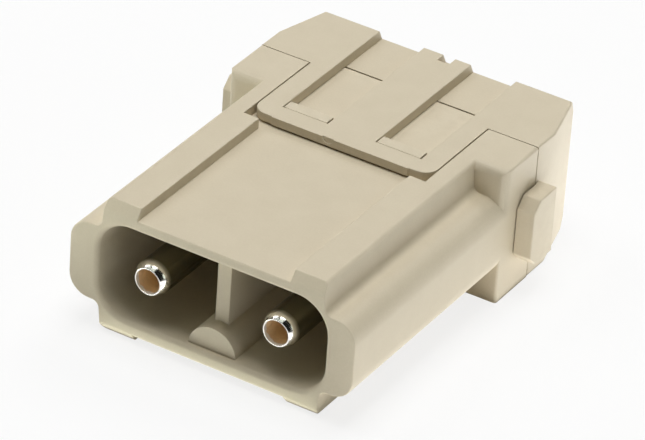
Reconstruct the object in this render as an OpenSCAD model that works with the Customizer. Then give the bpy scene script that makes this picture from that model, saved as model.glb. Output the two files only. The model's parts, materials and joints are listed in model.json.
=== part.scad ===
// Modular connector insert: a two-pole male power module with axial screw contacts.
// Lengths are in millimetres. Y runs from the mating face to the wire side, X across, Z up.
// The forms below are laid out with the mating face at Y = 0, and centred along Y at the end.

/* [Overall] */
// Width over the ears
module_w = 31.2; // [30.4:0.1:33]
// Thickness over the guide rails
module_h = 14.6; // [14.2:0.1:15.6]
// Length from the mating face to the wire side
module_l = 42.4; // [41.5:0.1:46]

/* [Hood] */
// Width of the hood at the foot of the guide rails
hood_w = 24.4; // [23.8:0.1:25.2]
// Distance between the inner edges of the two guide rails
rail_gap = 16.7; // [15.6:0.1:17.6]
// Width over the upper edges of the two guide rails
rail_span = 24; // [23.6:0.1:24.4]
// Height of a guide rail above the plate between the rails
rail_h = 1.1; // [0.9:0.05:1.3]
// Height of a lower guide rail below the plate between the lower rails
low_rail_h = 0.85; // [0.6:0.05:1.1]
// Length of the lead-in slope at the front of a guide rail
rail_lead = 0.75; // [0.4:0.05:1.5]
// Radius along the outer top edge of a guide rail
rail_edge_r = 0.45; // [0.1:0.05:0.7]
// Height of a side wing
wing_h = 8.3; // [7.6:0.1:9]
// Radius along a wing's outer edges
wing_r = 2.2; // [1:0.1:3]
// Radius of the cove between a wing and the guide rail
cove_r = 0.75; // [0.3:0.05:1]
// Width of the mating opening
opening_w = 25; // [24:0.1:25.6]
// Height of the mating opening
opening_h = 10.1; // [9.4:0.1:10.4]
// Corner radius of the mating opening
opening_r = 3.4; // [2.6:0.1:4.4]
// Radius along the edge of the mating opening
mouth_r = 0.5; // [0.2:0.05:0.6]
// Depth of the chambers
chamber_d = 19.5; // [16:0.5:20.5]
// Thickness of the web between the chambers
web_t = 1.5; // [1:0.1:2.2]
// Distance of the web's front edge behind the mating face
web_setback = 2.3; // [1.2:0.1:6]
// Radius of the half-round key on the chamber floor
key_r = 2.6; // [1.5:0.05:2.8]
// Depth of the key's middle line below the chamber floor
key_drop = 0.2; // [0:0.05:0.6]
// Distance of the key's front face behind the mating face
key_setback = 0.8; // [0.8:0.1:2]
// Width and depth of the fine groove at the foot of the key's front face
key_groove = 0.12; // [0.06:0.02:0.18]

/* [Ears and parting] */
// Distance of the ears' front wall behind the mating face
ear_y = 26.6; // [25.5:0.1:28]
// Distance of the parting plane behind the mating face
parting_y = 32.5; // [31.8:0.1:33]
// Radius of an ear's upright front corner, above the wing
ear_corner_r = 1; // [0.4:0.1:2]
// Radius of an ear's upright front corner, below the wing
ear_foot_r = 0.3; // [0.1:0.1:1]
// Radius of an ear's upper front edge
ear_edge_r = 0.9; // [0.3:0.1:1.5]
// Radius of an ear's upper outer edge
ear_side_r = 0.3; // [0.1:0.05:0.8]
// Open gap at the parting plane
parting_gap = 0.1; // [0.06:0.02:0.2]

/* [Snap tongues] */
// Width of a snap tongue
tongue_w = 19.9; // [19.2:0.1:20.6]
// Distance of a tongue's front edge behind the mating face
tongue_y = 21.9; // [21.4:0.1:22.4]
// Open length of the pocket in front of a tongue
pocket_gap = 1.05; // [0.6:0.05:1.2]
// Clearance under a tongue
tongue_under = 0.06; // [0.04:0.02:0.12]
// Clearance beside a tongue and at the ends of a snap bar
tongue_side = 0.14; // [0.08:0.02:0.2]
// Corner radius at the front of a tongue
tongue_r = 1.5; // [0.5:0.1:2.2]
// Width of the lip along a tongue's front edge
lip_w = 15.2; // [12:0.1:16]
// Reach of the lip in front of a tongue
lip_out = 0.13; // [0.05:0.01:0.3]
// Gap for a blade between the plate and a tongue's front edge
pry_gap = 0.2; // [0.14:0.02:0.3]
// Depth of the blade's gap behind a tongue's front edge
pry_l = 0.8; // [0.4:0.1:1.4]
// Diameter of the half-round gate recess in the upper tongue's lip
gate_d = 1.25; // [0.8:0.05:1.6]
// Offset of the gate recess from the middle
gate_x = -1.28; // [-2:0.02:2]
// Width of the rib between the two windows
rib_w = 5.34; // [4.4:0.02:6.2]
// Width of a window
window_w = 5.05; // [4.4:0.05:5.6]
// Distance of the windows behind a tongue's front edge
window_inset = 2.1; // [1.6:0.1:2.6]
// Length of a snap bar
bar_l = 1.3; // [0.8:0.1:1.6]
// Gap between a snap bar and the front of its window
bar_gap = 0.04; // [0.03:0.01:0.1]
// Length of the front body's tail behind the parting plane
tail_l = 2.9; // [2:0.05:3]
// Gap behind the front body's tail
tail_gap = 0.22; // [0.14:0.02:0.3]
// Thickness of the front body's tail
tail_t = 1.5; // [1:0.1:1.6]
// Width of the front body's tail
tail_w = 19; // [17:0.1:19.1]

/* [Rear body] */
// Length of a straight flank between the parting plane and the plan taper
flank_l = 3.2; // [2.8:0.1:5]
// Depth of the plan taper at the wire side
taper_in = 1.7; // [0.5:0.1:2]
// Length of the bevel along the upper and lower rear edges
bevel_l = 0.6; // [0.3:0.05:1]
// Width of the notch in the rib's rear end
notch_w = 1.3; // [0.8:0.1:2]
// Length of the notch in the rib's rear end
notch_l = 1.8; // [0.8:0.1:2.4]
// Offset of the notch from the middle
notch_x = 0.22; // [-0.6:0.02:0.6]

/* [Lugs] */
// Reach of a lug beyond the ears
lug_out = 2; // [1.2:0.1:2.6]
// Reach of a lug in front of the parting plane, over the ear
lug_forward = 3.4; // [2.6:0.1:4]
// Length of a lug's outer face
lug_l = 4.2; // [3.8:0.1:5]
// Height of the lug on the right
lug_right_h = 7.2; // [5:0.1:9]
// Height of the lug on the left
lug_left_h = 9.2; // [6:0.1:11]
// Bevel at a lug's upper and lower front corners
lug_bevel = 1.1; // [0.4:0.1:1.6]
// Offset of the lugs below the middle of the thickness
lug_drop = 0.3; // [0:0.1:0.6]

/* [Contacts] */
// Distance between the two contacts
contact_pitch = 14.1; // [13.4:0.1:14.6]
// Diameter of a pin
pin_d = 3.7; // [3.4:0.05:4.2]
// Diameter of the flat ring at a pin's tip
tip_d = 3; // [2.7:0.05:3.2]
// Length of the rounded shoulder behind the tip
tip_l = 1.1; // [0.4:0.05:1.4]
// Distance of the tip behind the mating face
tip_setback = 0.3; // [0.1:0.05:1]
// Diameter of the key bore through a pin
key_bore_d = 2.6; // [2.35:0.05:2.8]
// Diameter of the shank between a pin and its collar
shank_d = 4.8; // [4.4:0.1:5.4]
// Length of the shank that stands in the chamber
shank_out = 0.3; // [0.1:0.1:1]
// Thickness of the wall that a contact's collar seats on
seat_t = 1.5; // [1:0.1:2]
// Diameter of a contact's collar
collar_d = 7.8; // [7.4:0.05:8.2]
// Length of a contact's collar
collar_l = 2; // [1:0.1:3]
// Diameter of a contact's barrel
barrel_d = 7; // [6.8:0.05:7.3]
// Diameter of the wire chamber in a barrel
wire_chamber_d = 5.6; // [5.2:0.05:6]
// Length of the wire chamber
wire_chamber_l = 8; // [6:0.1:9]
// Bevel at the mouth of the wire chamber
wire_mouth = 0.3; // [0.1:0.05:0.35]
// Radial clearance of a contact in its sockets
contact_clear = 0.08; // [0.04:0.01:0.15]

/* [Wire entries] */
// Diameter of a wire entry
entry_d = 8.2; // [7.6:0.1:8.8]
// Depth of a contact's barrel in the rear body
barrel_seat = 3.4; // [2.4:0.1:4.4]
// Bevel at the mouth of a wire entry
entry_mouth = 0.4; // [0.2:0.05:0.6]
// Thickness of the ledge behind a contact
ledge_t = 0.8; // [0.5:0.1:1.2]
// Diameter of the hole in the ledge
ledge_d = 6; // [5.8:0.05:6.4]

/* [Cone screws] */
// Thread diameter of a cone screw
screw_d = 4; // [3.6:0.05:4.4]
// Radial clearance of a cone screw in its contact
screw_clear = 0.05; // [0.02:0.01:0.09]
// Length of the threaded part
screw_l = 5.5; // [4:0.1:6]
// Length of the cone
cone_l = 4.6; // [3:0.1:5.2]
// Diameter of the cone at its root
cone_d = 3.4; // [2.8:0.1:3.5]
// Diameter of the cone at its point
cone_tip_d = 0.6; // [0.3:0.1:1]
// Width across flats of the hex socket
socket_af = 2; // [1.8:0.05:2.05]
// Depth of the hex socket
socket_l = 2.5; // [1.5:0.1:3]
// Distance of a cone screw from the stop at the front of its thread
screw_back = 0.4; // [0.2:0.05:0.8]

/* [Hidden] */
$fn = 64;
// Steps in a quarter turn of a rounded outline
ARC_STEPS = 8;
// Overshoot of a cut past the face that it opens
CUT = 1;
// Depth by which joined solids reach into each other
JOIN = 0.5;
// Edge break at a cone screw's front end
SCREW_EDGE = 0.3;

PLASTIC = [0.80, 0.75, 0.66];
SILVER = [0.86, 0.85, 0.82];
STEEL = [0.55, 0.54, 0.52];

half_w = module_w / 2;
half_h = module_h / 2;
// Height of the recessed plate between the rails, and of the groove floors behind the snap bars
plate_z = module_h - rail_h;
contact_x = contact_pitch / 2;
tongue_z = plate_z + tongue_under;
window_y = tongue_y + window_inset;
// Wall between the chambers and the sockets of the contacts
seat_y = chamber_d + seat_t;
socket_d = collar_d + 2 * contact_clear;
barrel_bore_d = barrel_d + 2 * contact_clear;
rear_y = parting_y + parting_gap;
lug_y = parting_y - lug_forward;
// Rear end of the contacts, which the ledge holds
ledge_y = rear_y + barrel_seat;
thread_end_y = ledge_y - wire_chamber_l;
thread_d = screw_d + 2 * screw_clear;
// Front stop of the thread, one wall behind the seat of the collar
stop_y = seat_y - (pin_d - key_bore_d) / 2;
tail_end_y = parting_y + tail_l;
// Middles of the mating opening's corner arcs
corner_u = opening_w / 2 - opening_r;
corner_v = opening_h / 2 - opening_r;
tail_z = plate_z - tail_t;

// Points on an arc about c, from angle a0 to angle a1
function arc(c, r, a0, a1, n = ARC_STEPS) =
    [for (i = [0:n]) c + r * [cos(a0 + (a1 - a0) * i / n), sin(a0 + (a1 - a0) * i / n)]];

// An outline mirrored in its second coordinate, and one mirrored in its first, in turned order
function flip_v(p) = [for (i = [len(p) - 1:-1:0]) [p[i][0], -p[i][1]]];
function flip_u(p) = [for (i = [len(p) - 1:-1:0]) [-p[i][0], p[i][1]]];

// A whole outline from its right quarters, both given as upper ones
function four_way(upper, lower) = let (half = concat(upper, flip_v(lower))) concat(half, flip_u(half));

function rounded_quarter(half_u, half_v, r) = arc([half_u - r, half_v - r], r, 90, 0);

// Upper right quarter of the hood's section: rail of height h, drafted rail side, cove and rounded wing
function hood_quarter(h) =
    let (wing_top = wing_h / 2, rail_out = rail_span / 2, foot = hood_w / 2)
    concat(
        [[rail_gap / 2, half_h - h], [rail_gap / 2, half_h]],
        arc([rail_out - rail_edge_r, half_h - rail_edge_r], rail_edge_r, 90, 0),
        arc([foot + cove_r, wing_top + cove_r], cove_r, 180, 270),
        rounded_quarter(half_w, wing_top, wing_r));

// A section in X and Z, carried along Y
module along_y(y0, y1) {
    translate([0, y1, 0]) rotate([90, 0, 0]) linear_extrude(y1 - y0) children();
}

// A side outline in Y and Z, carried along X
module along_x(x0, x1) {
    translate([x0, 0, 0]) rotate([90, 0, 90]) linear_extrude(x1 - x0) children();
}

// A bore or rod along Y
module rod_y(d, y0, y1) {
    translate([0, y0, 0]) rotate([-90, 0, 0]) cylinder(h = y1 - y0, d = d);
}

// A turned form: the outline gives radius and Y
module turned(outline) {
    rotate([-90, 0, 0]) rotate_extrude() polygon(outline);
}

// The same feature on the upper and the lower broad face
module both_faces() {
    children();
    translate([0, 0, module_h]) mirror([0, 0, 1]) children();
}

// The same feature on both contact axes
module both_contacts() {
    for (side = [-1, 1]) translate([side * contact_x, 0, half_h]) children();
}

// A box given by its two corners
module block(low, high) {
    translate(low) cube(high - low);
}

// Both windows or both snap bars, side by side on either side of the rib
module window_pair(shrink, y0, y1, z0, z1) {
    for (side = [0, 1]) mirror([side, 0, 0])
        block([rib_w / 2 + shrink, y0, z0], [rib_w / 2 + window_w - shrink, y1, z1]);
}

// The same feature at the four corners of the mating opening
module mouth_corners() {
    for (u = [-corner_u, corner_u], v = [-corner_v, corner_v]) translate([u, 0, v]) children();
}

// The mating opening carried into the hood: two blocks, and a cylinder in each corner
module cavity() {
    block([-corner_u, -CUT, -opening_h / 2], [corner_u, chamber_d, opening_h / 2]);
    block([-opening_w / 2, -CUT, -corner_v], [opening_w / 2, chamber_d, corner_v]);
    mouth_corners() rod_y(2 * opening_r, -CUT, chamber_d);
}

// The rounding along the mating opening's edge, carried along its sides and round its corners.
// Its section is given by the distance outside the opening and by Y.
module mouth() {
    section = concat([[-JOIN, mouth_r], [-JOIN, -CUT], [mouth_r, -CUT]],
                     arc([mouth_r, mouth_r], mouth_r, 270, 180));
    for (side = [0, 1]) {
        mirror([0, 0, side]) along_x(-corner_u, corner_u)
            polygon([for (p = section) [p[1], opening_h / 2 + p[0]]]);
        mirror([side, 0, 0]) translate([0, 0, -corner_v]) linear_extrude(2 * corner_v)
            polygon([for (p = section) [opening_w / 2 + p[0], p[1]]]);
    }
    mouth_corners() turned([for (p = section) [opening_r + p[0], p[1]]]);
}

// The hollow of the hood: one rounded cavity that the web and the key divide
module chambers() {
    floor_z = half_h - opening_h / 2;
    difference() {
        translate([0, 0, half_h]) cavity();
        block([-web_t / 2, web_setback, 0], [web_t / 2, module_l, module_h]);
        translate([0, 0, floor_z - key_drop]) rod_y(2 * key_r, key_setback, module_l);
    }
    translate([0, 0, half_h]) mouth();
    block([-key_r, key_setback - key_groove, floor_z - key_groove], [key_r, key_setback, floor_z + JOIN]);
}

// Slope at the front of the upper guide rails of height h, down to the plate at the mating face
module rail_slope(h) {
    along_x(-half_w, half_w)
        polygon([[0, module_h - h], [rail_lead, module_h], [rail_lead, module_h + CUT],
                 [-CUT, module_h + CUT], [-CUT, module_h - h]]);
}

module hood() {
    difference() {
        along_y(0, parting_y) translate([0, half_h]) polygon(four_way(hood_quarter(rail_h), hood_quarter(low_rail_h)));
        rail_slope(rail_h);
        translate([0, 0, module_h]) mirror([0, 0, 1]) rail_slope(low_rail_h);
    }
}

// Plan of the ears with rounded front corners
module ear_plan(r) {
    half = concat([[half_w, parting_y]], arc([half_w - r, ear_y + r], r, 0, -90));
    polygon(concat(half, flip_u(half)));
}

// Ears: a block whose upper edges are rounded at the front and at the sides
module ears() {
    side = concat([[ear_y, 0], [parting_y, 0], [parting_y, module_h]],
                  arc([ear_y + ear_edge_r, module_h - ear_edge_r], ear_edge_r, 90, 180));
    front = concat([[half_w, 0]], arc([half_w - ear_side_r, module_h - ear_side_r], ear_side_r, 0, 90));
    intersection() {
        union() {
            linear_extrude(half_h) ear_plan(ear_foot_r);
            translate([0, 0, half_h]) linear_extrude(half_h) ear_plan(ear_corner_r);
        }
        along_x(-half_w, half_w) polygon(side);
        along_y(ear_y, parting_y) polygon(concat(front, flip_u(front)));
    }
}

module front_body() {
    color(PLASTIC) {
        difference() {
            union() {
                hood();
                ears();
            }
            chambers();
            both_faces() block(
                [-tongue_w / 2 - tongue_side, tongue_y - pocket_gap, plate_z],
                [tongue_w / 2 + tongue_side, parting_y + CUT, module_h + CUT]);
            both_contacts() {
                rod_y(shank_d + 2 * contact_clear, chamber_d - CUT, seat_y + CUT);
                rod_y(socket_d, seat_y, parting_y + CUT);
            }
        }
        both_faces() {
            block([-tail_w / 2, parting_y - JOIN, tail_z], [tail_w / 2, tail_end_y, plate_z]);
            window_pair(tongue_side, window_y + bar_gap, window_y + bar_gap + bar_l,
                        plate_z - JOIN, module_h);
        }
    }
}

// Plan of a snap tongue with its rounded front corners and the lip between them
module tongue_plan() {
    front = arc([tongue_w / 2 - tongue_r, tongue_y + tongue_r], tongue_r, 0, -90);
    lip = [[lip_w / 2, tongue_y], [lip_w / 2, tongue_y - lip_out]];
    half = concat([[tongue_w / 2, rear_y + JOIN]], front, lip);
    polygon(concat(half, flip_u(half)));
}

// Cap block: tapered at the rear corners in plan and bevelled along the rear edges
module cap_block() {
    plan = [[half_w, rear_y], [half_w, rear_y + flank_l], [half_w - taper_in, module_l]];
    side = [[rear_y, module_h], [module_l - bevel_l, module_h], [module_l, plate_z],
            [module_l, rail_h], [module_l - bevel_l, 0], [rear_y, 0]];
    intersection() {
        linear_extrude(module_h) polygon(concat(plan, flip_u(plan)));
        along_x(-half_w, half_w) polygon(side);
    }
}

// Lug on the right: it reaches forward over the ear, one gap away from it
module lug(height) {
    plan = [[half_w - JOIN, rear_y], [half_w + parting_gap, rear_y], [half_w + parting_gap, lug_y],
            [half_w + lug_out, lug_y], [half_w + lug_out, lug_y + lug_l],
            [half_w, lug_y + lug_l + lug_out], [half_w - JOIN, lug_y + lug_l + lug_out]];
    side = [[lug_y, height / 2 - lug_bevel], [lug_y + lug_bevel, height / 2],
            [module_l, height / 2]];
    intersection() {
        linear_extrude(module_h) polygon(plan);
        translate([0, 0, half_h - lug_drop]) along_x(0, module_w) polygon(concat(side, flip_v(side)));
    }
}

module rear_body() {
    color(PLASTIC) difference() {
        union() {
            cap_block();
            both_faces() translate([0, 0, tongue_z]) linear_extrude(module_h - tongue_z) tongue_plan();
            lug(lug_right_h);
            mirror([1, 0, 0]) lug(lug_left_h);
        }
        both_faces() {
            window_pair(0, window_y, module_l + CUT, plate_z, module_h + CUT);
            block([-tongue_w / 2, tongue_y - CUT, plate_z], [tongue_w / 2, tongue_y + pry_l, plate_z + pry_gap]);
            block([-tail_w / 2 - tongue_side, rear_y - CUT, tail_z - tongue_under],
                  [tail_w / 2 + tongue_side, tail_end_y + tail_gap, tongue_z]);
            block([notch_x - notch_w / 2, module_l - notch_l, plate_z],
                  [notch_x + notch_w / 2, module_l + CUT, module_h + CUT]);
        }
        translate([gate_x, 0, module_h]) rod_y(gate_d, tongue_y - CUT, tongue_y);
        both_contacts() {
            rod_y(barrel_bore_d, seat_y, ledge_y);
            rod_y(ledge_d, ledge_y - CUT, module_l);
            rod_y(entry_d, ledge_y + ledge_t, module_l + CUT);
            translate([0, module_l - entry_mouth, 0]) rotate([-90, 0, 0])
                cylinder(h = 2 * entry_mouth, d1 = entry_d, d2 = entry_d + 4 * entry_mouth);
        }
    }
}

module contact() {
    shoulder = [(pin_d - tip_d) / 2, tip_l];
    outline = concat(
        [[key_bore_d / 2, tip_setback]],
        [for (p = arc([0, 0], 1, 90, 0))
            [tip_d / 2 + shoulder[0] * p[0], tip_setback + shoulder[1] * (1 - p[1])]],
        [[pin_d / 2, chamber_d - shank_out], [shank_d / 2, chamber_d - shank_out],
         [shank_d / 2, seat_y], [collar_d / 2, seat_y], [collar_d / 2, seat_y + collar_l],
         [barrel_d / 2, seat_y + collar_l], [barrel_d / 2, ledge_y],
         [wire_chamber_d / 2 + wire_mouth, ledge_y], [wire_chamber_d / 2, ledge_y - wire_mouth],
         [wire_chamber_d / 2, thread_end_y], [thread_d / 2, thread_end_y],
         [thread_d / 2, stop_y], [key_bore_d / 2, stop_y]]);
    color(SILVER) turned(outline);
}

module cone_screw() {
    front = stop_y + screw_back;
    thread_r = screw_d / 2;
    color(STEEL) difference() {
        turned([[0, front], [thread_r - SCREW_EDGE, front], [thread_r, front + SCREW_EDGE],
                [thread_r, front + screw_l], [cone_d / 2, front + screw_l],
                [cone_tip_d / 2, front + screw_l + cone_l], [0, front + screw_l + cone_l]]);
        translate([0, front - CUT, 0]) rotate([-90, 0, 0])
            cylinder(h = socket_l + CUT, d = socket_af / cos(30), $fn = 6);
    }
}

// Centres the part along Y over its resting face
module centred() {
    translate([0, -module_l / 2, 0]) children();
}

// Puts a piece on the contact axis of one side
module on_axis(side) {
    centred() translate([side * contact_x, 0, half_h]) children();
}

centred() front_body();
centred() rear_body();
on_axis(-1) contact();  // contact_left
on_axis(1) contact();  // contact_right
on_axis(-1) cone_screw();  // cone_screw_left
on_axis(1) cone_screw();  // cone_screw_right
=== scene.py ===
"""Looks of a two-pole modular connector insert.

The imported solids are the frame. The two mouldings are their own solids with moulded edges and with square
rear ends on the lugs, the pins and the cone screws are surfaces of revolution worked out as arrays, and a
pale studio stands round them. Lengths are in metres, Y runs from the mating face to the wire side, X across,
Z up.
"""

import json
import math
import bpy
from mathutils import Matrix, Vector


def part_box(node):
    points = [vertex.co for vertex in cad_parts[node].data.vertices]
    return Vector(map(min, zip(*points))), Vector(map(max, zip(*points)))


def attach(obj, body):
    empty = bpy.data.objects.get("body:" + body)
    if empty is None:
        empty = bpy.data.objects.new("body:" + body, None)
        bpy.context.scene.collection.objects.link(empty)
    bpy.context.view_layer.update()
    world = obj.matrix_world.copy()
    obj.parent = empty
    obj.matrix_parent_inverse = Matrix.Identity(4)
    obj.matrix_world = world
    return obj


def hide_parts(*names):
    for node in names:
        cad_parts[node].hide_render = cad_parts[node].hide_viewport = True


bl_info = {
    "name": "Modular connector insert",
    "version": (1, 0, 0),
    "blender": (4, 5, 0),
    "location": "View3D > Sidebar > Insert",
    "description": "Dresses the insert's mouldings, pins and cone screws, and sets up a pale studio",
    "category": "Object",
}

from contextlib import contextmanager

import bmesh
import bpy
import numpy as np
from bpy.props import FloatProperty, FloatVectorProperty, IntProperty, PointerProperty
from mathutils import Quaternion, Vector
from mathutils.bvhtree import BVHTree

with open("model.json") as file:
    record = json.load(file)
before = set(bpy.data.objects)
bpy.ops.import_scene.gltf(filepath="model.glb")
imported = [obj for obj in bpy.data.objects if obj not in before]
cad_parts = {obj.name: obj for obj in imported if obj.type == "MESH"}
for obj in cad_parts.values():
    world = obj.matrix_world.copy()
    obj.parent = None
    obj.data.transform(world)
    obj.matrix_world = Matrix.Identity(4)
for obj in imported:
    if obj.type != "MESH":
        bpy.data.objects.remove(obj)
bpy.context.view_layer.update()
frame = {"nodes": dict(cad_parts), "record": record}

MM = 0.001
MOUNTS = {mount["name"]: mount for mount in frame["record"]["mounts"]}
FINISH = {row["slot"]: row["base_color"] for row in frame["record"]["materials"]}
SIDES = ("left", "right")
# Height of the insert's middle plane in mm
MIDDLE = MOUNTS["pin_left"]["pos_m"][2] / MM

# Distance within which vertices of a solid's loose triangles are one, and turn below which faces are flat
MERGE = 1e-6
FLAT = math.radians(0.5)
# Turn above which an edge of a solid is an edge of the moulding, and not a step of a rounded face
CREASE = math.radians(25)
# Turn above which an edge of the rounded moulding stays sharp
SHARP = math.radians(40)
# Cosine beyond which two edges at a vertex run on as one line
RUN_ON = -0.9
# Share of the faces beside an edge that its rounding may take up, and the least rounding that is made
ROOM_SHARE = 0.42
LEAST_RADIUS = 0.03 * MM
# Edges with a radius of their own, by moulding: the setting, then the least and most |x|, y and height over
# or under the middle plane, in mm
EDGE_ZONES = {
    "front_body": (
        ("contour_radius", (0.0, -21.3, 0.0), (15.7, -21.1, 7.4)),
        ("rim_radius", (0.0, -21.3, 0.0), (12.9, -20.2, 5.6))),
    "rear_body": (
        ("tongue_radius", (0.0, -1.0, 0.0), (15.7, 3.0, 7.4)),
        ("cap_radius", (13.6, 5.0, 6.7), (15.7, 21.3, 7.4)),
        ("lug_radius", (15.75, 0.0, 0.0), (17.7, 21.3, 7.4)))}
# Foot of the rear slope that the lugs have in the solid: its zone in the same way, and the slope's length,
# both in mm
LUG_FOOT = (15.5, 13.9, 0.0), (15.7, 14.3, 5.2)
LUG_SLOPE = 2.0

# Steps of an arc at a corner of a pin's section, and the fine and the plain radius of such corners
FILLET_STEPS = 6
FINE_CORNER = 0.03 * MM
PLAIN_CORNER = 0.1 * MM
# Points along the dome of a pin's shoulder, and the power in its formula
DOME_POINTS = 25
DOME_POWER = 1.5
# Bevels of a screw's head and of its socket's mouth, and rows of the mesh in one pitch of its thread
HEAD_BEVEL = 0.3 * MM
SOCKET_BEVEL = 0.1 * MM
ROWS_IN_PITCH = 10

# Parts of the noises' range that are spread out, and the full range of a mask
GRAIN_SPREAD = (0.3, 0.7)
FLECK_SPREAD = (0.4, 0.7)
MOTTLE_SPREAD = (0.35, 0.65)
RUB_AND_HIGHLIGHT_SPREAD = (0.3, 0.6)
FULL = (0.0, 1.0)
# Least and most share of the paler colour in the plastic's mottle, its flecks and the painted highlight on
# its rounded edges, and of the darker bronze in the bore's mottle
MOTTLE_SHARE = (0.0, 0.15)
FLECK_SHARE = (0.0, 0.2)
EDGE_HIGHLIGHT_SHARE = (0.0, 0.25)
BRONZE_SHARE = (0.0, 0.5)
# Least and most roughness over the grain, and what the bore adds to the plating's
PLASTIC_ROUGHNESS = (0.48, 0.62)
PLATE_ROUGHNESS = (0.1, 0.2)
STEEL_ROUGHNESS = (0.28, 0.42)
BORE_ROUGHNESS = 0.5
# Brightness of the darker bronze, and colour of the screws' rubbed edges
BRONZE_SHADE = 0.8
RUBBED_STEEL = (0.72, 0.71, 0.69)
# On a pin, in mm: how far the plating's edge in the bore wanders and half its width, where the painted shade
# on the shaft starts and ends from the end of the shoulder, and the depth over which the bore turns dull
PLATE_WANDER = 0.6
PLATE_BLUR = 0.03
PAINTED_SHAFT_SHADE_FADE = (-0.25, 0.4)
BORE_FADE = (0.02, 0.08)

# Colour of the background, and its share in the floor where the floor shows
WHITE = (1.0, 1.0, 1.0)
FLOOR_WHITE = 0.8
# Colours of the main light and of the fill light from the front and the right
MAIN = (1.0, 1.0, 1.0)
FILL = (0.93, 1.0, 0.9)
# Soft boxes over the floor: place, size, power and colour, and the point that they face
SOFT_BOXES = (
    ("top_box", (0.0, 0.0, 0.8), 0.4, 3.5, MAIN),
    ("rear_box", (0.0, 0.493, 0.63), 0.35, 1.73, MAIN),
    ("left_box", (-0.514, 0.0, 0.613), 0.35, 1.23, MAIN),
    ("front_box", (0.0, -0.274, 0.752), 0.35, 0.3, FILL),
    ("front_left_box", (-0.348, -0.348, 0.63), 0.35, 0.2, FILL),
    ("rear_left_box", (-0.532, 0.532, 0.274), 0.35, 0.2, MAIN),
    ("right_box", (0.752, 0.0, 0.274), 0.35, 0.5, FILL))
BOX_AIM = (0.0, 0.0, 0.007)
# Bright sheets on the floor that face up: least and most x, least and most y, power and colour
SHEET_HEIGHT = 0.15 * MM
FLOOR_SHEETS = (
    ("right_sheet", (0.0157, 0.049), (-0.05, 0.05), 0.0103, MAIN),
    ("taper_sheet", (0.0141, 0.0157), (0.015, 0.0225), 0.00005, MAIN),
    ("rear_right_sheet", (0.019, 0.1), (0.03, 0.1), 0.0095, MAIN),
    ("far_left_sheet", (-0.29, -0.03), (-0.29, -0.03), 0.88, FILL),
    ("rear_sheet", (-0.05, 0.05), (0.0225, 0.0525), 0.0088, MAIN),
    ("front_sheet", (-0.0125, 0.0125), (-0.0233, -0.0213), 0.000267, FILL))
# Width of the camera's sensor in mm, and the nearest distance that it sees
SENSOR_WIDTH = 36.0
CLIP_START = 0.01


def length(name, description, default):
    """A size in metres that shows with its unit."""
    return FloatProperty(name=name, description=description, default=default, unit="LENGTH", precision=6)


def turn(name, description, degrees):
    """An angle that is given in degrees."""
    return FloatProperty(name=name, description=description, default=math.radians(degrees), subtype="ANGLE")


def colour(name, description, default):
    """A colour of three parts."""
    return FloatVectorProperty(name=name, description=description, default=default, subtype="COLOR",
                               size=3, min=0.0, max=1.0)


class MouldingSettings(bpy.types.PropertyGroup):
    """Sizes and colours of the two mouldings."""

    edge_radius: length("Edge radius", "Radius of the mouldings' free edges", 0.09 * MM)
    contour_radius: length("Contour radius", "Radius of the outline of the mating face", 0.35 * MM)
    rim_radius: length("Rim radius", "Radius of the edges of the chambers' mouth", 0.15 * MM)
    tongue_radius: length("Tongue radius", "Radius of the edges at the front of the tongues", 0.06 * MM)
    cap_radius: length("Cap radius", "Radius of the outer edges of the wire cap", 0.2 * MM)
    lug_radius: length("Lug radius", "Radius of the edges of the side lugs", 0.15 * MM)
    hairline_radius: length("Hairline radius", "Radius of edges that face the other moulding", 0.05 * MM)
    hairline_reach: length("Hairline reach", "Gap below which an edge faces the other moulding", 0.25 * MM)
    segments: IntProperty(name="Segments", description="Steps of a rounded edge", default=3, min=1, max=8)
    plastic: colour("Plastic", "Colour of the moulded plastic", FINISH["plastic"])
    # The fibre colour is also the colour of the painted highlight on the plastic's rounded edges.
    fibre: colour("Fibre", "Colour of the paler flecks in the plastic", (0.76, 0.68, 0.53))
    grain_scale: FloatProperty(name="Grain scale", description="Grains of the surface in a metre",
                               default=5200.0)


class ContactSettings(bpy.types.PropertyGroup):
    """Sizes and colours of the turned pins."""

    tip_radius: length("Tip radius", "Outer radius of the flat ring at the tip", 1.41 * MM)
    shoulder: length("Shoulder", "Length of the domed shoulder behind the tip", 0.85 * MM)
    shank_radius: length("Shank radius", "Radius of the shank in front of the collar", 2.4 * MM)
    shank: length("Shank", "Length of the shank", 1.8 * MM)
    collar: length("Collar", "Length of the collar", 2.0 * MM)
    barrel_radius: length("Barrel radius", "Radius of the barrel behind the collar", 3.5 * MM)
    chamber_radius: length("Chamber radius", "Radius of the wire chamber", 2.8 * MM)
    chamber: length("Chamber", "Length of the wire chamber", 8.0 * MM)
    mouth: length("Mouth", "Bevel at the mouth of the wire chamber", 0.3 * MM)
    plate_reach: length("Plate reach", "Depth of the bore that the plating wraps into", 0.4 * MM)
    thread_radius: length("Thread radius", "Radius of the threaded bore", 2.05 * MM)
    silver: colour("Silver", "Colour of the plating", FINISH["silver"])
    # The shaft's colour is painted shade, standing for the dark chamber that the shaft reflects.
    painted_shaft_shade: colour("Shaft shade", "Colour of the painted shaft shade behind the tip", (0.2, 0.18, 0.12))
    bronze: colour("Bronze", "Colour of the bare bore", (0.88, 0.64, 0.37))
    sides: IntProperty(name="Sides", description="Steps round a pin", default=128, min=16)


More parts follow.
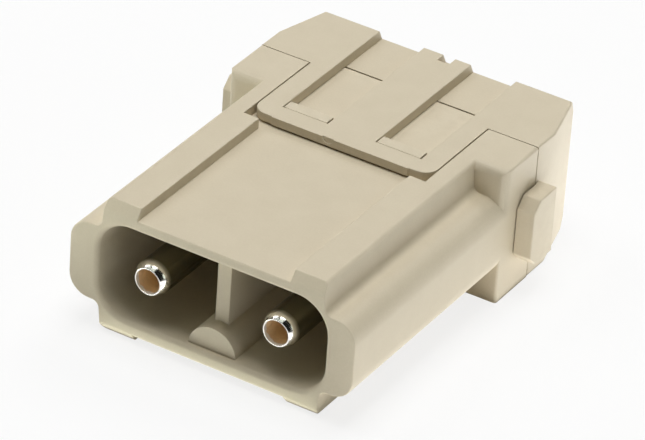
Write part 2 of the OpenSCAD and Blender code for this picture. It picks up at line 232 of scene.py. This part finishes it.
class ScrewSettings(bpy.types.PropertyGroup):
    """Sizes and colour of the cone screws."""

    pitch: length("Pitch", "Pitch of the thread", 0.7 * MM)
    thread_depth: length("Thread depth", "Depth of the thread", 0.3 * MM)
    thread: length("Thread", "Length of the threaded part", 5.5 * MM)
    cone_radius: length("Cone radius", "Radius of the cone at its root", 1.7 * MM)
    point_radius: length("Point radius", "Radius of the cone at its point", 0.3 * MM)
    socket_flat: length("Socket flat", "Half the width across the flats of the hex socket", 1.0 * MM)
    socket: length("Socket", "Depth of the hex socket", 2.5 * MM)
    steel: colour("Steel", "Colour of the screws", FINISH["screw_steel"])
    sides: IntProperty(name="Sides", description="Steps round a screw", default=96, min=12)


class StageSettings(bpy.types.PropertyGroup):
    """Camera, floor and sky."""

    azimuth: turn("Azimuth", "Camera's turn to the right of the mating side", 29.81)
    elevation: turn("Elevation", "Camera's height over the horizon", 32.47)
    roll: turn("Roll", "Camera's turn about its own axis", 4.06)
    distance: length("Distance", "Camera's distance from the point that it looks at", 493.1 * MM)
    target: FloatVectorProperty(name="Target", description="Point that the camera looks at", size=3,
                                default=(-0.39 * MM, -0.84 * MM, 6.46 * MM), subtype="XYZ")
    lens: FloatProperty(name="Lens", description="Focal length in mm", default=289.7)
    floor_size: length("Floor size", "Side of the floor", 6.0)
    floor: colour("Floor", "Colour of the floor", (0.9, 0.9, 0.9))
    sky: colour("Sky", "Colour of the light from all round", (0.96, 1.0, 0.9))
    sky_strength: FloatProperty(name="Sky strength", description="Strength of the light from all round",
                                default=0.01)


class Moulding:
    """A moulding's polygons as arrays, with what the choice of its edge radii needs.

    Each edge has its middle, the turn between its two faces, whether they meet convex, and the room that its
    rounding has in the narrower face and along the edges that it meets. The chain pairs edges that run on.
    """

    def __init__(self, mesh):
        self.points = read(mesh.vertices, "co", 3)
        self.ends = read(mesh.edges, "vertices", 2, int)
        self.middles = self.points[self.ends].mean(axis=1)
        face, sides = corners_of(mesh)
        normal = read(mesh.polygons, "normal", 3)[face]
        vertex = read(mesh.loops, "vertex_index", 1, int)
        start = read(mesh.polygons, "loop_start", 1, int)
        total = read(mesh.polygons, "loop_total", 1, int)
        following = np.arange(len(vertex)) + 1
        following[start + total - 1] = start
        run = self.points[vertex[following]] - self.points[vertex]
        inward = np.cross(normal, run / np.linalg.norm(run, axis=1, keepdims=True))
        one, other = pairs_within(start[face], total[face])
        reach = ((self.points[vertex[other]] - self.points[vertex[one]]) * inward[one]).sum(axis=1)
        extent = np.maximum.reduceat(reach, np.cumsum(total[face]) - total[face])
        first, second = sides.T
        self.turn = np.arccos(np.clip((normal[first] * normal[second]).sum(axis=1), -1, 1))
        self.convex = (normal[second] * inward[first]).sum(axis=1) < 0
        self.room = extent[sides].min(axis=1)
        self.meet()

    def meet(self):
        """Pairs the edges that run on as one line, and shortens each edge's room to the others it meets."""
        span = self.points[self.ends[:, 1]] - self.points[self.ends[:, 0]]
        size = np.linalg.norm(span, axis=1)
        away = np.concatenate([span, -span]) / np.tile(size, 2)[:, None]
        edge = np.tile(np.arange(len(span)), 2)
        order = np.argsort(self.ends.T.ravel(), kind="stable")
        away, edge = away[order], edge[order]
        count = np.bincount(self.ends.ravel(), minlength=len(self.points))
        first = np.cumsum(count) - count
        one, other = pairs_within(np.repeat(first, count), np.repeat(count, count))
        apart = edge[one] != edge[other]
        one, other = one[apart], other[apart]
        on = (away[one] * away[other]).sum(axis=1) < RUN_ON
        self.chain = np.stack([edge[one[on]], edge[other[on]]])
        np.minimum.at(self.room, edge[one[~on]], size[edge[other[~on]]])


def pairs_within(first, count):
    """Every item paired with each one of its run, where item i's run starts at first[i] and has count[i]."""
    one = np.repeat(np.arange(len(count)), count)
    step = np.arange(len(one)) - np.repeat(np.cumsum(count) - count, count)
    return one, first[one] + step


def read(items, name, width, kind=float):
    """An attribute of a mesh's items as one array, in rows where an item has more than one value."""
    values = np.empty(len(items) * width, dtype=np.float32 if kind is float else np.int32)
    items.foreach_get(name, values)
    values = values.astype(kind)
    return values.reshape(-1, width) if width > 1 else values


def corners_of(mesh):
    """The face of each corner of a closed mesh, and for each edge the two corners that it leads on from."""
    total = read(mesh.polygons, "loop_total", 1, int)
    edge = read(mesh.loops, "edge_index", 1, int)
    return np.repeat(np.arange(len(total)), total), np.argsort(edge, kind="stable").reshape(-1, 2)


@contextmanager
def edited(mesh):
    """A mesh's edit mesh, which is put back into it at the end."""
    work = bmesh.new()
    work.from_mesh(mesh)
    try:
        yield work
        work.to_mesh(mesh)
    finally:
        work.free()


def drop_slivers(work):
    """Dissolves the faces and edges of an edit mesh that have no size, until none is left."""
    faces = 0
    while faces != len(work.faces):
        faces = len(work.faces)
        bmesh.ops.dissolve_degenerate(work, dist=MERGE, edges=work.edges)


def smooth(mesh):
    """Shades every face of a mesh smooth."""
    mesh.polygons.foreach_set("use_smooth", np.ones(len(mesh.polygons), dtype=bool))


def merged_copy(node, name):
    """A copy of a node's mesh with its doubles merged and its flat faces joined into polygons."""
    mesh = frame["nodes"][node].data.copy()
    mesh.name = name
    mesh.materials.clear()
    if "custom_normal" in mesh.attributes:
        mesh.attributes.remove(mesh.attributes["custom_normal"])
    with edited(mesh) as work:
        bmesh.ops.remove_doubles(work, verts=work.verts, dist=MERGE)
        drop_slivers(work)
        bmesh.ops.dissolve_limit(work, angle_limit=FLAT, verts=work.verts, edges=work.edges)
    return mesh


def add_piece(name, mesh, material, body, slot, *nodes):
    """Puts a finished mesh into the scene as a piece that rides on a body and stands for its nodes."""
    mesh.materials.append(material)
    piece = bpy.data.objects.new(name, mesh)
    bpy.context.scene.collection.objects.link(piece)
    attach(piece, body)
    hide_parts(*nodes)
    return piece


def in_zone(points, low, high):
    """Which points have |x|, y and height over or under the middle plane between two corners, in mm."""
    where = points / MM - (0.0, 0.0, MIDDLE)
    where[:, [0, 2]] = np.abs(where[:, [0, 2]])
    return ((where >= low) & (where <= high)).all(axis=1)


def square_lugs(mesh):
    """Makes the lugs' rear ends square: the foot of their rear slope moves forward by the slope's length."""
    points = read(mesh.vertices, "co", 3)
    foot = in_zone(points, *LUG_FOOT)
    if not foot.any():
        raise ValueError("the foot of the lugs' rear slope is not in its zone")
    points[foot, 1] -= LUG_SLOPE * MM
    mesh.vertices.foreach_set("co", points.astype(np.float32).ravel())
    mesh.update()


def edge_radii(node, form, neighbour, settings):
    """Radius of every edge: by its zone, fine at hairlines, within its room, and even along a line."""
    tree = BVHTree.FromPolygons(*neighbour)
    gap = np.array([tree.find_nearest(Vector(point))[3] for point in form.middles])
    radii = np.full(len(gap), settings.edge_radius)
    for name, low, high in EDGE_ZONES[node]:
        radii[in_zone(form.middles, low, high)] = getattr(settings, name)
    radii[gap < settings.hairline_reach] = settings.hairline_radius
    radii = np.minimum(radii, form.room * ROOM_SHARE)
    wanted = (form.turn > CREASE) & form.convex
    chain = form.chain[:, wanted[form.chain].all(axis=0)]
    before = None
    while before is None or (before != radii).any():
        before = radii.copy()
        np.minimum.at(radii, chain[0], before[chain[1]])
    return np.where(wanted & (radii > LEAST_RADIUS), radii, 0)


def mark_creases(mesh):
    """Marks the edges of a closed mesh at which its faces turn by more than SHARP."""
    face, sides = corners_of(mesh)
    normal = read(mesh.polygons, "normal", 3)[face[sides]]
    cosine = (normal[:, 0] * normal[:, 1]).sum(axis=1)
    mesh.edges.foreach_set("use_edge_sharp", cosine < math.cos(SHARP))


def round_edges(piece, radii, segments):
    """Rounds the edges of a moulding by their radii, and shades its flat faces flat."""
    mesh = piece.data
    weight = mesh.attributes.new("bevel_weight_edge", "FLOAT", "EDGE")
    weight.data.foreach_set("value", (radii / radii.max()).astype(np.float32))
    smooth(mesh)
    bevel = piece.modifiers.new("moulded edges", "BEVEL")
    bevel.limit_method = "WEIGHT"
    bevel.width = radii.max()
    bevel.segments = segments
    bevel.use_clamp_overlap = False
    bevel.miter_outer = "MITER_SHARP"
    rounded = bpy.data.meshes.new_from_object(piece.evaluated_get(bpy.context.evaluated_depsgraph_get()))
    piece.modifiers.clear()
    piece.data = rounded
    bpy.data.meshes.remove(mesh)
    rounded.name = piece.name
    with edited(rounded) as work:
        drop_slivers(work)
    mark_creases(rounded)
    normals = piece.modifiers.new("flat faces", "WEIGHTED_NORMAL")
    normals.keep_sharp = True


def make_moulding(node, other, name, context):
    """A moulding with rounded edges that stands for its node."""
    settings = context.scene.insert_moulding
    mesh = merged_copy(node, name)
    if node == "rear_body":
        square_lugs(mesh)
    solid = frame["nodes"][other].data
    neighbour = (read(solid.vertices, "co", 3).tolist(), read(solid.polygons, "vertices", 3, int).tolist())
    radii = edge_radii(node, Moulding(mesh), neighbour, settings)
    plastic = shared(bpy.data.materials, "beige moulding", moulded_plastic, settings)
    piece = add_piece(name, mesh, plastic, "insert", "plastic", node)
    round_edges(piece, radii, settings.segments)


def unit(vectors):
    """Vectors in rows, brought to length 1."""
    return vectors / np.linalg.norm(vectors, axis=1, keepdims=True)


def filleted(corners, radii):
    """A closed outline with an arc of FILLET_STEPS steps at each corner.

    At a corner with unit directions a and b to its neighbours and half angle h between them, the arc's centre
    is r / sin h along the bisector, and the arc turns from the tangent point on a to the one on b.
    """
    radii = radii[:, None]
    back = unit(np.roll(corners, 1, axis=0) - corners)
    ahead = unit(np.roll(corners, -1, axis=0) - corners)
    half = np.arccos(np.clip((back * ahead).sum(axis=1, keepdims=True), -1, 1)) / 2
    centre = corners + unit(back + ahead) * radii / np.sin(half)
    start = corners + back * radii / np.tan(half) - centre
    end = corners + ahead * radii / np.tan(half) - centre
    span = np.pi - 2 * half
    share = np.linspace(0, 1, FILLET_STEPS + 1)
    weights = np.stack([np.sin((1 - share) * span), np.sin(share * span)], axis=-1) / np.sin(span)[..., None]
    arcs = centre[:, None] + weights[..., :1] * start[:, None] + weights[..., 1:] * end[:, None]
    return arcs.reshape(-1, 2)


def grid_mesh(name, grid, wrap_rows, wrap_columns):
    """A mesh of quads over points with shape (rows, columns, 3), closed on itself where it wraps."""
    rows, columns = grid.shape[:2]
    index = np.arange(rows * columns).reshape(rows, columns)
    if wrap_rows:
        index = np.concatenate([index, index[:1]])
    if wrap_columns:
        index = np.concatenate([index, index[:, :1]], axis=1)
    quads = np.stack([index[:-1, :-1], index[1:, :-1], index[1:, 1:], index[:-1, 1:]], axis=-1).reshape(-1, 4)
    mesh = bpy.data.meshes.new(name)
    mesh.from_pydata(grid.reshape(-1, 3), [], quads)
    smooth(mesh)
    with edited(mesh) as work:
        bmesh.ops.remove_doubles(work, verts=work.verts, dist=MERGE)
        bmesh.ops.recalc_face_normals(work, faces=work.faces)
    return mesh


def turned(radius, place, centre):
    """A surface of revolution about an axis along Y: radius has shape (rows, columns), place (rows, 1).

    Column j of a row, at the angle t = 2 pi j / columns, goes to (x + radius cos t, place, z + radius sin t)
    for a centre (x, z).
    """
    angle = np.linspace(0, 2 * np.pi, radius.shape[1], endpoint=False)
    return np.stack([centre[0] + radius * np.cos(angle), np.broadcast_to(place, radius.shape),
                     centre[1] + radius * np.sin(angle)], axis=-1)


def pin_outline(side, settings):
    """Radius and place of a pin's section, from the shank to the barrel and back through the bore to the tip.

    The shoulder behind the tip's ring starts as a cone and ends along the pin: at s from 0 to 1 its radius is
    tip + (pin - tip) (1 - (1 - s)^1.5), and its place is s times its length behind the tip.
    """
    low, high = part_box(f"contact_{side}")
    pin = MOUNTS[f"pin_{side}"]["dims"]
    bore = MOUNTS[f"key_bore_{side}"]["dims"]
    pin_r = pin["r_mm"] * MM
    bore_r = bore["r_mm"] * MM
    collar_r = (high.x - low.x) / 2
    tip = low.y
    shank = MOUNTS[f"pin_{side}"]["pos_m"][1] + pin["length_mm"] / 2 * MM
    seat = shank + settings.shank
    stop = tip + bore["length_mm"] * MM
    chamber = high.y - settings.chamber
    corners = np.array([
        (pin_r, shank, PLAIN_CORNER),
        (settings.shank_radius, shank, FINE_CORNER),
        (settings.shank_radius, seat, FINE_CORNER),
        (collar_r, seat, PLAIN_CORNER),
        (collar_r, seat + settings.collar, PLAIN_CORNER),
        (settings.barrel_radius, seat + settings.collar, FINE_CORNER),
        (settings.barrel_radius, high.y, PLAIN_CORNER),
        (settings.chamber_radius + settings.mouth, high.y, FINE_CORNER),
        (settings.chamber_radius, high.y - settings.mouth, PLAIN_CORNER),
        (settings.chamber_radius, chamber, PLAIN_CORNER),
        (settings.thread_radius, chamber, PLAIN_CORNER),
        (settings.thread_radius, stop, FINE_CORNER),
        (bore_r, stop, FINE_CORNER),
        (bore_r, tip, FINE_CORNER),
        (settings.tip_radius, tip, 0.0)])
    rounded = filleted(corners[:, :2], corners[:, 2])
    share = np.linspace(0, 1, DOME_POINTS)
    swell = (pin_r - settings.tip_radius) * (1 - (1 - share) ** DOME_POWER)
    dome = np.stack([settings.tip_radius + swell, tip + settings.shoulder * share], axis=-1)
    return np.concatenate([rounded[:-FILLET_STEPS - 1], dome]), tip


def make_pin(side, context):
    """A hollow pin: its section carried round the contact's axis, with depths behind the tip marked in mm."""
    settings = context.scene.insert_contact
    outline, tip = pin_outline(side, settings)
    place = MOUNTS[f"pin_{side}"]["pos_m"]
    radius = np.repeat(outline[:, :1], settings.sides, axis=1)
    mesh = grid_mesh(f"pin_{side}", turned(radius, outline[:, 1:], (place[0], place[2])), True, True)
    points = read(mesh.vertices, "co", 3)
    inside = np.hypot(points[:, 0] - place[0], points[:, 2] - place[2]) < settings.tip_radius
    for name, shown in (("bore_depth", inside), ("shaft_depth", ~inside)):
        depth = mesh.attributes.new(name, "FLOAT", "POINT")
        depth.data.foreach_set("value", np.where(shown, (points[:, 1] - tip) / MM, 0).astype(np.float32))
    plate = shared(bpy.data.materials, "silver plate", plated_silver, settings)
    add_piece(f"pin_{side}", mesh, plate, "insert", "silver", f"contact_{side}")


def screw_sections(low, high, settings):
    """Radius and place of a cone screw's rows, from the bottom of its socket over the thread to its point.

    The socket's radius at angle t is flat / cos((t mod 60) - 30), and the thread lowers the screw's radius by
    depth times the distance of place / pitch - t / turn from the nearest whole number, twice.
    """
    full = (high.x - low.x) / 2
    angle = np.linspace(0, 2 * np.pi, settings.sides, endpoint=False)
    hexagon = settings.socket_flat / np.cos((angle % (np.pi / 3)) - np.pi / 6)
    around = np.ones_like(angle)
    turns = int(settings.thread / settings.pitch)
    along = np.linspace(low.y + HEAD_BEVEL, low.y + settings.thread, turns * ROWS_IN_PITCH)
    phase = along[:, None] / settings.pitch - angle / (2 * np.pi)
    from_end = np.stack([along - along[0], along[-1] - along])
    fade = np.clip(from_end / settings.pitch, 0, 1).prod(axis=0)
    groove = 2 * np.abs(phase - np.round(phase)) * settings.thread_depth * fade[:, None]
    floor = low.y + settings.socket
    head = ((0 * around, floor), (hexagon, floor), (hexagon, low.y + SOCKET_BEVEL),
            (hexagon + SOCKET_BEVEL, low.y), ((full - HEAD_BEVEL) * around, low.y))
    cone = ((settings.cone_radius * around, along[-1]), (settings.point_radius * around, high.y),
            (0 * around, high.y))
    radius = np.concatenate([[row for row, place in head], full - groove, [row for row, place in cone]])
    place = np.concatenate([[place for row, place in head], along, [place for row, place in cone]])
    return radius, place[:, None]


def make_screw(side, context):
    """A cone screw with its thread and hex socket, on the body that feeds it along the contact."""
    settings = context.scene.insert_screw
    name = f"clamp_screw_{side}"
    low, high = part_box(f"cone_screw_{side}")
    centre = ((low.x + high.x) / 2, (low.z + high.z) / 2)
    mesh = grid_mesh(name, turned(*screw_sections(low, high, settings), centre), False, True)
    steel = shared(bpy.data.materials, "machined steel", machined_steel, settings)
    add_piece(name, mesh, steel, f"screw_{side}", "screw_steel", f"cone_screw_{side}")


def shared(store, name, build, *settings):
    """The item of that name in one of Blender's lists, built where it isn't there yet."""
    return store.get(name) or build(name, *settings)


def feed(tree, node, inputs):
    """Fills a node's inputs with constants or with links from other nodes."""
    for key, value in inputs.items():
        if isinstance(value, bpy.types.NodeSocket):
            tree.links.new(value, node.inputs[key])
        else:
            node.inputs[key].default_value = value


def place_node(tree, kind, inputs=None, **fields):
    """Adds a node, sets its fields and fills its inputs."""
    node = tree.nodes.new(kind)
    for field, value in fields.items():
        setattr(node, field, value)
    feed(tree, node, inputs or {})
    return node


def opaque(rgb):
    """A colour with full alpha."""
    return (*rgb, 1.0)


def mix_colour(tree, share, first, second):
    """A colour between two others."""
    node = place_node(tree, "ShaderNodeMix", data_type="RGBA")
    at = {socket.name: index for index, socket in enumerate(node.inputs) if socket.enabled}
    feed(tree, node, {at["Factor"]: share, at["A"]: first, at["B"]: second})
    return next(socket for socket in node.outputs if socket.enabled)


def map_range(tree, value, spread, onto):
    """A value carried from one range onto another."""
    return place_node(tree, "ShaderNodeMapRange", {
        "Value": value, "From Min": spread[0], "From Max": spread[1],
        "To Min": onto[0], "To Max": onto[1]}).outputs["Result"]


def combine(tree, operation, *values):
    """The result of one step of arithmetic."""
    return place_node(tree, "ShaderNodeMath", dict(enumerate(values)), operation=operation).outputs["Value"]


def noise(tree, vector, scale, detail, roughness=0.5):
    """A noise from 0 to 1."""
    return place_node(tree, "ShaderNodeTexNoise", {
        "Vector": vector, "Scale": scale, "Detail": detail, "Roughness": roughness}).outputs["Fac"]


def new_group(name, inputs, outputs):
    """An empty shader group with a vector input, float inputs and float outputs."""
    group = bpy.data.node_groups.new(name, "ShaderNodeTree")
    group.interface.new_socket("Vector", in_out="INPUT", socket_type="NodeSocketVector")
    for way, names in (("INPUT", inputs), ("OUTPUT", outputs)):
        for socket in names:
            group.interface.new_socket(socket, in_out=way, socket_type="NodeSocketFloat")
    return group, group.nodes.new("NodeGroupInput").outputs, group.nodes.new("NodeGroupOutput")


def surface_grain(name):
    """Shared grain: a fine height, and a slow mottle of the surface, both from 0 to 1."""
    group, entry, result = new_group(name, ["Scale", "Mottle Scale"], ["Height", "Mottle"])
    feed(group, result, {
        "Height": noise(group, entry["Vector"], entry["Scale"], detail=3.0, roughness=0.6),
        "Mottle": noise(group, entry["Vector"], entry["Mottle Scale"], detail=4.0, roughness=0.55)})
    return group


def edge_rub_and_highlight(name):
    """Shared edge wear and painted highlight: 1 on rounded edges and 0 on open faces, broken up by a noise.
    """
    group, entry, result = new_group(name, ["Low", "High", "Noise Scale"], ["Mask"])
    bend = group.nodes.new("ShaderNodeNewGeometry").outputs["Pointiness"]
    edge = map_range(group, bend, (entry["Low"], entry["High"]), FULL)
    patches = noise(group, entry["Vector"], entry["Noise Scale"], detail=2.0)
    broken = map_range(group, patches, RUB_AND_HIGHLIGHT_SPREAD, FULL)
    feed(group, result, {"Mask": combine(group, "MULTIPLY", edge, broken)})
    return group


def place_group(tree, name, build, inputs):
    """Places a shared group in a material with its own values, and gives its outputs."""
    group = shared(bpy.data.node_groups, name, build)
    return place_node(tree, "ShaderNodeGroup", inputs, node_tree=group).outputs


def place_grain(tree, vector, scale, mottle):
    """Places the shared grain in a material, with its scales in a metre."""
    return place_group(tree, "surface grain", surface_grain, {
        "Vector": vector, "Scale": scale, "Mottle Scale": mottle})


def place_rub_and_highlight(tree, vector, high, scale):
    """Places the shared edge wear and painted highlight in a material, with the bend at which it is full and
    its noise's scale.
    """
    return place_group(tree, "edge rub", edge_rub_and_highlight, {
        "Vector": vector, "Low": 0.52, "High": high, "Noise Scale": scale})["Mask"]


def grain_bump(tree, height, strength, distance):
    """A normal that rises and falls with a height."""
    return place_node(tree, "ShaderNodeBump", {
        "Strength": strength, "Distance": distance, "Height": height}).outputs["Normal"]


def new_material(name):
    """A node material with only its shader, which is linked to its output."""
    material = bpy.data.materials.new(name)
    material.use_nodes = True
    tree = material.node_tree
    tree.nodes.clear()
    shader = tree.nodes.new("ShaderNodeBsdfPrincipled")
    place_node(tree, "ShaderNodeOutputMaterial", {"Surface": shader.outputs["BSDF"]})
    return material, tree, shader


def on_piece(tree):
    """Places on the piece itself."""
    return tree.nodes.new("ShaderNodeTexCoord").outputs["Object"]


def across_turning(tree, vector, squeeze):
    """Places squeezed across the pins' axis, for marks that run round it."""
    return place_node(tree, "ShaderNodeMapping", {
        "Vector": vector, "Scale": (squeeze, 1.0, squeeze)}).outputs["Vector"]


def moulded_plastic(name, settings):
    """Beige glass-filled plastic with a fine moulded grain, a faint mottle and a painted highlight on its
    edges.
    """
    material, tree, shader = new_material(name)
    where = on_piece(tree)
    grain = place_grain(tree, where, scale=settings.grain_scale, mottle=350.0)
    rub_and_highlight = place_rub_and_highlight(tree, where, high=0.6, scale=900.0)
    body = opaque(settings.plastic)
    # Mottle and flecks are the plastic's own colour; the paler rounded edges are a painted highlight.
    for mask, spread, share in ((grain["Mottle"], MOTTLE_SPREAD, MOTTLE_SHARE),
                                (grain["Height"], FLECK_SPREAD, FLECK_SHARE), (rub_and_highlight, FULL, EDGE_HIGHLIGHT_SHARE)):
        body = mix_colour(tree, map_range(tree, mask, spread, share), body, opaque(settings.fibre))
    feed(tree, shader, {
        "Base Color": body,
        "Roughness": map_range(tree, grain["Height"], GRAIN_SPREAD, PLASTIC_ROUGHNESS),
        "Normal": grain_bump(tree, grain["Height"], strength=0.5, distance=0.02 * MM),
        "Specular IOR Level": 0.35})
    return material


def plated_silver(name, settings):
    """Bright silver plate with turning marks and painted shade on the shaft behind the shoulder, over a bare
    bronze bore.
    """
    material, tree, shader = new_material(name)
    where = on_piece(tree)
    marks = place_grain(tree, across_turning(tree, where, 0.05), scale=9000.0, mottle=700.0)
    speck = place_grain(tree, where, scale=6000.0, mottle=2500.0)
    bore, shaft = (place_node(tree, "ShaderNodeAttribute", attribute_name=depth).outputs["Fac"]
                   for depth in ("bore_depth", "shaft_depth"))
    ragged = combine(tree, "MULTIPLY_ADD", speck["Mottle"], PLATE_WANDER, bore)
    edge = settings.plate_reach / MM + PLATE_WANDER / 2
    bare = map_range(tree, ragged, (edge - PLATE_BLUR, edge + PLATE_BLUR), FULL)
    bronze = mix_colour(tree, map_range(tree, speck["Mottle"], MOTTLE_SPREAD, BRONZE_SHARE),
                        opaque(settings.bronze), opaque(part * BRONZE_SHADE for part in settings.bronze))
    # Painted shade: the shaft behind the shoulder is darkened, standing for the dark chamber that it
    # reflects.
    fade = [settings.shoulder / MM + place for place in PAINTED_SHAFT_SHADE_FADE]
    plating = mix_colour(tree, map_range(tree, shaft, fade, FULL),
                         opaque(settings.silver), opaque(settings.painted_shaft_shade))
    feed(tree, shader, {
        "Base Color": mix_colour(tree, bare, plating, bronze),
        "Metallic": map_range(tree, bare, FULL, FULL[::-1]),
        "Roughness": combine(tree, "MULTIPLY_ADD", map_range(tree, bore, BORE_FADE, FULL), BORE_ROUGHNESS,
                             map_range(tree, marks["Height"], GRAIN_SPREAD, PLATE_ROUGHNESS)),
        "Normal": grain_bump(tree, marks["Height"], strength=0.1, distance=0.01 * MM)})
    return material


def machined_steel(name, settings):
    """Machined steel with turning marks and rubbed edges."""
    material, tree, shader = new_material(name)
    where = on_piece(tree)
    marks = place_grain(tree, across_turning(tree, where, 0.1), scale=7000.0, mottle=500.0)
    rub_and_highlight = place_rub_and_highlight(tree, where, high=0.62, scale=1500.0)
    feed(tree, shader, {
        "Base Color": mix_colour(tree, rub_and_highlight, opaque(settings.steel), opaque(RUBBED_STEEL)),
        "Roughness": map_range(tree, marks["Height"], GRAIN_SPREAD, STEEL_ROUGHNESS),
        "Metallic": 1.0})
    return material


def studio_floor(settings):
    """Pale floor that shows white to the camera and to bright metal, and keeps a soft shadow."""
    material, tree, shader = new_material("pale floor")
    feed(tree, shader, {"Base Color": opaque(settings.floor), "Roughness": 0.8, "Specular IOR Level": 0.0})
    path = tree.nodes.new("ShaderNodeLightPath").outputs
    seen = path["Is Camera Ray"]
    for ray in ("Is Glossy Ray", "Is Transmission Ray"):
        seen = combine(tree, "MAXIMUM", seen, path[ray])
    white = place_node(tree, "ShaderNodeEmission", {"Color": opaque(WHITE), "Strength": 1.0})
    mixed = place_node(tree, "ShaderNodeMixShader", {
        0: combine(tree, "MULTIPLY", seen, FLOOR_WHITE), 1: shader.outputs["BSDF"],
        2: white.outputs["Emission"]})
    feed(tree, tree.get_output_node("ALL"), {"Surface": mixed.outputs["Shader"]})
    return material


def studio_sky(settings):
    """Even light from all round, which the camera sees as white."""
    world = bpy.data.worlds.new("studio sky")
    world.use_nodes = True
    tree = world.node_tree
    tree.nodes.clear()
    light, white = (place_node(tree, "ShaderNodeBackground", {"Color": opaque(tint), "Strength": strength})
                    for tint, strength in ((settings.sky, settings.sky_strength), (WHITE, 1.0)))
    path = tree.nodes.new("ShaderNodeLightPath").outputs
    mixed = place_node(tree, "ShaderNodeMixShader", {
        0: path["Is Camera Ray"], 1: light.outputs["Background"], 2: white.outputs["Background"]})
    place_node(tree, "ShaderNodeOutputWorld", {"Surface": mixed.outputs["Shader"]})
    return world


def add_lamp(name, place, aim, size, power, tint):
    """A soft rectangular lamp that faces a point and that the camera doesn't see."""
    light = bpy.data.lights.new(name, "AREA")
    light.shape = "RECTANGLE"
    light.size, light.size_y = size
    light.energy = power
    light.color = tint
    lamp = bpy.data.objects.new(name, light)
    lamp.location = place
    lamp.rotation_mode = "QUATERNION"
    lamp.rotation_quaternion = (Vector(aim) - Vector(place)).to_track_quat("-Z", "Y")
    lamp.visible_camera = False
    bpy.context.scene.collection.objects.link(lamp)


def add_camera(settings):
    """The camera at the photograph's angle, level first and then rolled about its own axis."""
    level = math.cos(settings.elevation)
    back = Vector((math.sin(settings.azimuth) * level, -math.cos(settings.azimuth) * level,
                   math.sin(settings.elevation)))
    data = bpy.data.cameras.new("camera")
    data.sensor_width = SENSOR_WIDTH
    data.lens = settings.lens
    data.clip_start = CLIP_START
    camera = bpy.data.objects.new("camera", data)
    camera.location = Vector(settings.target) + back * settings.distance
    camera.rotation_mode = "QUATERNION"
    camera.rotation_quaternion = (-back).to_track_quat("-Z", "Y") @ Quaternion((0, 0, 1), settings.roll)
    bpy.context.scene.collection.objects.link(camera)
    bpy.context.scene.camera = camera


class InsertFrontBody(bpy.types.Operator):
    """Makes the front moulding: hood, rails, wings, ears and chambers."""

    bl_idname = "insert.front_body"
    bl_label = "Front body"

    def execute(self, context):
        make_moulding("front_body", "rear_body", "front_moulding", context)
        return {"FINISHED"}


class InsertRearBody(bpy.types.Operator):
    """Makes the rear moulding: wire cap, snap tongues and lugs."""

    bl_idname = "insert.rear_body"
    bl_label = "Rear body"

    def execute(self, context):
        make_moulding("rear_body", "front_body", "rear_moulding", context)
        return {"FINISHED"}


class InsertPins(bpy.types.Operator):
    """Makes the two hollow plated pins."""

    bl_idname = "insert.pins"
    bl_label = "Pins"

    def execute(self, context):
        for side in SIDES:
            make_pin(side, context)
        return {"FINISHED"}


class InsertScrews(bpy.types.Operator):
    """Makes the two cone screws inside the pins."""

    bl_idname = "insert.screws"
    bl_label = "Cone screws"

    def execute(self, context):
        for side in SIDES:
            make_screw(side, context)
        return {"FINISHED"}


class InsertStage(bpy.types.Operator):
    """Sets up the floor, the soft lamps, the sky and the camera."""

    bl_idname = "insert.stage"
    bl_label = "Stage"

    def execute(self, context):
        settings = context.scene.insert_stage
        half = settings.floor_size / 2
        x, y = np.meshgrid([-half, half], [-half, half])
        mesh = grid_mesh("floor", np.stack([x, y, 0 * x], axis=-1), False, False)
        mesh.materials.append(studio_floor(settings))
        floor = bpy.data.objects.new("floor", mesh)
        context.scene.collection.objects.link(floor)
        context.scene.world = studio_sky(settings)
        for name, place, size, power, tint in SOFT_BOXES:
            add_lamp(name, place, BOX_AIM, (size, size), power, tint)
        for name, across, along, power, tint in FLOOR_SHEETS:
            middle = (sum(across) / 2, sum(along) / 2)
            add_lamp(name, (*middle, SHEET_HEIGHT), (*middle, 1.0),
                     (across[1] - across[0], along[1] - along[0]), power, tint)
        add_camera(settings)
        context.scene.view_settings.view_transform = "Standard"
        return {"FINISHED"}


class InsertPanel(bpy.types.Panel):
    """Sidebar panel that lists the pieces and their settings."""

    bl_idname = "INSERT_PT_pieces"
    bl_label = "Connector insert"
    bl_space_type = "VIEW_3D"
    bl_region_type = "UI"
    bl_category = "Insert"

    def draw(self, context):
        for operator, group in STEPS:
            box = self.layout.box()
            box.operator(operator.bl_idname)
            settings = getattr(context.scene, group)
            for name in settings.__annotations__:
                box.prop(settings, name)


SETTINGS = {"insert_moulding": MouldingSettings, "insert_contact": ContactSettings,
            "insert_screw": ScrewSettings, "insert_stage": StageSettings}
STEPS = ((InsertFrontBody, "insert_moulding"), (InsertRearBody, "insert_moulding"),
         (InsertPins, "insert_contact"), (InsertScrews, "insert_screw"), (InsertStage, "insert_stage"))
CLASSES = (*SETTINGS.values(), *(operator for operator, group in STEPS), InsertPanel)


def register():
    """Registers the classes, and hangs the settings on the scene."""
    for item in CLASSES:
        bpy.utils.register_class(item)
    for name, group in SETTINGS.items():
        setattr(bpy.types.Scene, name, PointerProperty(type=group))


def unregister():
    """Takes the settings off the scene, and the classes back."""
    for name in SETTINGS:
        delattr(bpy.types.Scene, name)
    for item in reversed(CLASSES):
        bpy.utils.unregister_class(item)


def main():
    """Makes the pieces and the stage."""
    register()
    bpy.ops.insert.front_body()
    bpy.ops.insert.rear_body()
    bpy.ops.insert.pins()
    bpy.ops.insert.screws()
    bpy.ops.insert.stage()


if __name__ == "__main__":
    main()
